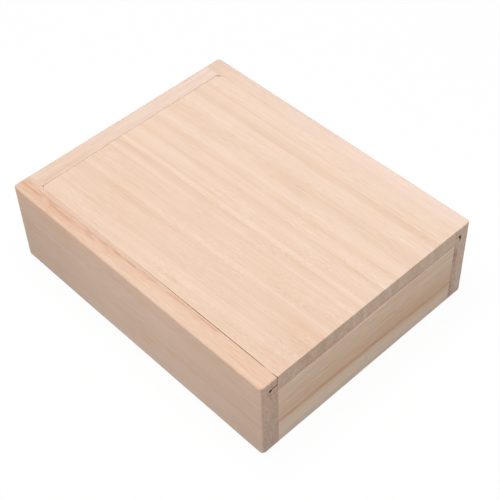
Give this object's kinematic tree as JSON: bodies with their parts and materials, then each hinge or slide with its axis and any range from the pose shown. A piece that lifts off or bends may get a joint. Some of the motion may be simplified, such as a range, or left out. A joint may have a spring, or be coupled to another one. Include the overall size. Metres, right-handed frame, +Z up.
{
  "type": "sliding lid wooden box",
  "caption": "Flat wooden box of plain boards with a tongued lid that slides out of its front.",
  "frame": {"origin": "centre of the box's footprint, on the plane that it stands on", "axes": "+Z up, Y along the box with the lid sliding out towards -Y, X across the box"},
  "size_m": [0.143, 0.18, 0.051],
  "materials": {
    "side_board": "bare, fine-sanded pale wood",
    "end_board": "bare, fine-sanded pale wood",
    "base_board": "bare, planed pale wood",
    "lid_board": "bare, fine-sanded pale wood"
  },
  "bodies": {
    "box": {"left_side_wall": "side_board", "right_side_wall": "side_board", "back_wall": "end_board", "front_wall": "end_board", "bottom_board": "base_board"},
    "lid": {"lid": "lid_board"}
  },
  "joints": [
    {"name": "lid_slide", "type": "slide", "parent": "box", "child": "lid", "axis": [0, -1, 0], "range_m": [0, 0.176]}
  ]
}
